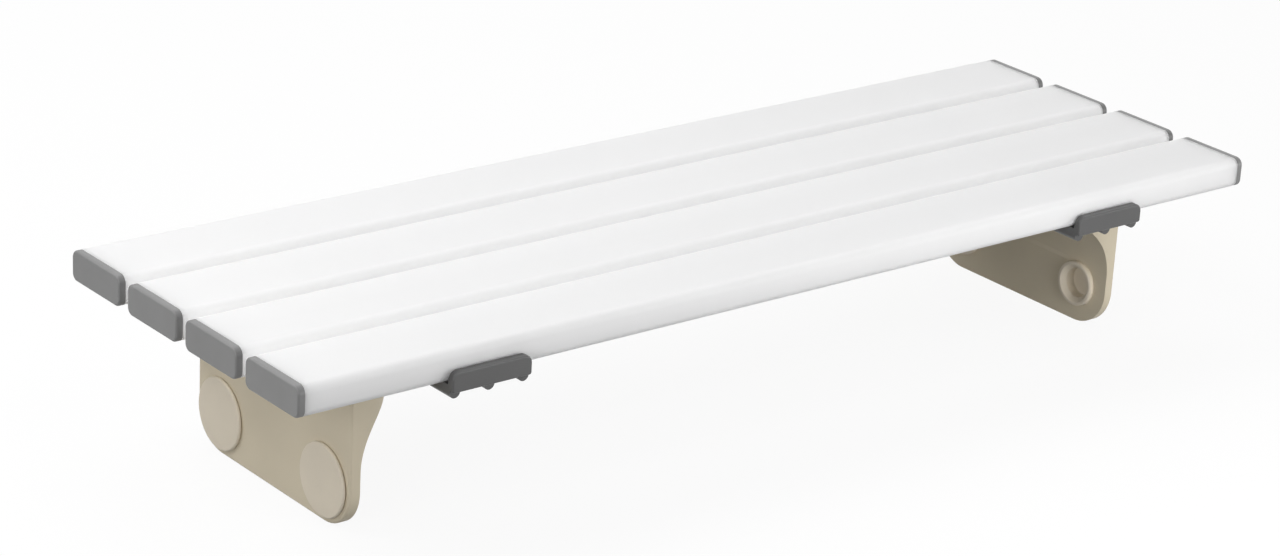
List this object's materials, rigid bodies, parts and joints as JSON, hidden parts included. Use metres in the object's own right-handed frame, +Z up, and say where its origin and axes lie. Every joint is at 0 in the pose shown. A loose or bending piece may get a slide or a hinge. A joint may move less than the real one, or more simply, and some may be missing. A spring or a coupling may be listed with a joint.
{
  "type": "bath board",
  "caption": "Slatted seat board laid across a bath, on sliding angle brackets with buffers that press against the bath's inner walls.",
  "frame": {"origin": "under the middle of the board, on the surface that the brackets' feet stand on", "axes": "+X along the board to its right end, +Y to its rear, +Z up"},
  "size_m": [0.685, 0.236, 0.1125],
  "materials": {
    "slat_white": "smooth",
    "cap_grey": "fine matt",
    "bar_grey": "fine matt",
    "bracket_beige": "fine matt",
    "buffer_rubber": "fine matt",
    "fastener_steel": "bright",
    "knob_grey": "fine matt",
    "insert_brass": "turned"
  },
  "bodies": {
    "board": {"slat_1": "slat_white", "slat_2": "slat_white", "slat_3": "slat_white", "slat_4": "slat_white", "end_cap_left_1": "cap_grey", "end_cap_left_2": "cap_grey", "end_cap_left_3": "cap_grey", "end_cap_left_4": "cap_grey", "cross_bar_left": "bar_grey", "slat_screws_left": "fastener_steel", "clamp_bolt_left_front": "fastener_steel", "clamp_bolt_left_rear": "fastener_steel", "end_cap_right_1": "cap_grey", "end_cap_right_2": "cap_grey", "end_cap_right_3": "cap_grey", "end_cap_right_4": "cap_grey", "cross_bar_right": "bar_grey", "slat_screws_right": "fastener_steel", "clamp_bolt_right_front": "fastener_steel", "clamp_bolt_right_rear": "fastener_steel"},
    "left_bracket": {"bracket_left": "bracket_beige", "buffer_left_front": "buffer_rubber", "buffer_left_rear": "buffer_rubber"},
    "left_front_washer": {"washer_left_front": "fastener_steel"},
    "left_front_knob": {"hand_knob_left_front": "knob_grey", "knob_insert_left_front": "insert_brass"},
    "left_rear_washer": {"washer_left_rear": "fastener_steel"},
    "left_rear_knob": {"hand_knob_left_rear": "knob_grey", "knob_insert_left_rear": "insert_brass"},
    "right_bracket": {"bracket_right": "bracket_beige", "buffer_right_front": "buffer_rubber", "buffer_right_rear": "buffer_rubber"},
    "right_front_washer": {"washer_right_front": "fastener_steel"},
    "right_front_knob": {"hand_knob_right_front": "knob_grey", "knob_insert_right_front": "insert_brass"},
    "right_rear_washer": {"washer_right_rear": "fastener_steel"},
    "right_rear_knob": {"hand_knob_right_rear": "knob_grey", "knob_insert_right_rear": "insert_brass"}
  },
  "joints": [
    {"name": "left_bracket_slide", "type": "slide", "parent": "board", "child": "left_bracket", "axis": [1, 0, 0], "range_m": [-0.0135, 0.0365]},
    {"name": "left_front_washer_drop", "type": "slide", "parent": "board", "child": "left_front_washer", "axis": [0, 0, -1], "range_m": [0, 0.00151]},
    {"name": "left_front_knob_turn", "type": "hinge", "parent": "left_front_washer", "child": "left_front_knob", "pos_m": [-0.2143, -0.032, 0.0759], "axis": [0, 0, -1], "range_deg": [0, 540]},
    {"name": "left_rear_washer_drop", "type": "slide", "parent": "board", "child": "left_rear_washer", "axis": [0, 0, -1], "range_m": [0, 0.00151]},
    {"name": "left_rear_knob_turn", "type": "hinge", "parent": "left_rear_washer", "child": "left_rear_knob", "pos_m": [-0.2143, 0.032, 0.0759], "axis": [0, 0, -1], "range_deg": [0, 540]},
    {"name": "right_bracket_slide", "type": "slide", "parent": "board", "child": "right_bracket", "axis": [-1, 0, 0], "range_m": [-0.0185, 0.0315]},
    {"name": "right_front_washer_drop", "type": "slide", "parent": "board", "child": "right_front_washer", "axis": [0, 0, -1], "range_m": [0, 0.00151]},
    {"name": "right_front_knob_turn", "type": "hinge", "parent": "right_front_washer", "child": "right_front_knob", "pos_m": [0.2143, -0.032, 0.0759], "axis": [0, 0, -1], "range_deg": [0, 540]},
    {"name": "right_rear_washer_drop", "type": "slide", "parent": "board", "child": "right_rear_washer", "axis": [0, 0, -1], "range_m": [0, 0.00151]},
    {"name": "right_rear_knob_turn", "type": "hinge", "parent": "right_rear_washer", "child": "right_rear_knob", "pos_m": [0.2143, 0.032, 0.0759], "axis": [0, 0, -1], "range_deg": [0, 540]}
  ],
  "couplings": [
    {"joint": "left_front_washer_drop", "follows": "left_front_knob_turn", "m_per_rad": 0.00015915},
    {"joint": "left_rear_washer_drop", "follows": "left_rear_knob_turn", "m_per_rad": 0.00015915},
    {"joint": "right_front_washer_drop", "follows": "right_front_knob_turn", "m_per_rad": 0.00015915},
    {"joint": "right_rear_washer_drop", "follows": "right_rear_knob_turn", "m_per_rad": 0.00015915}
  ]
}
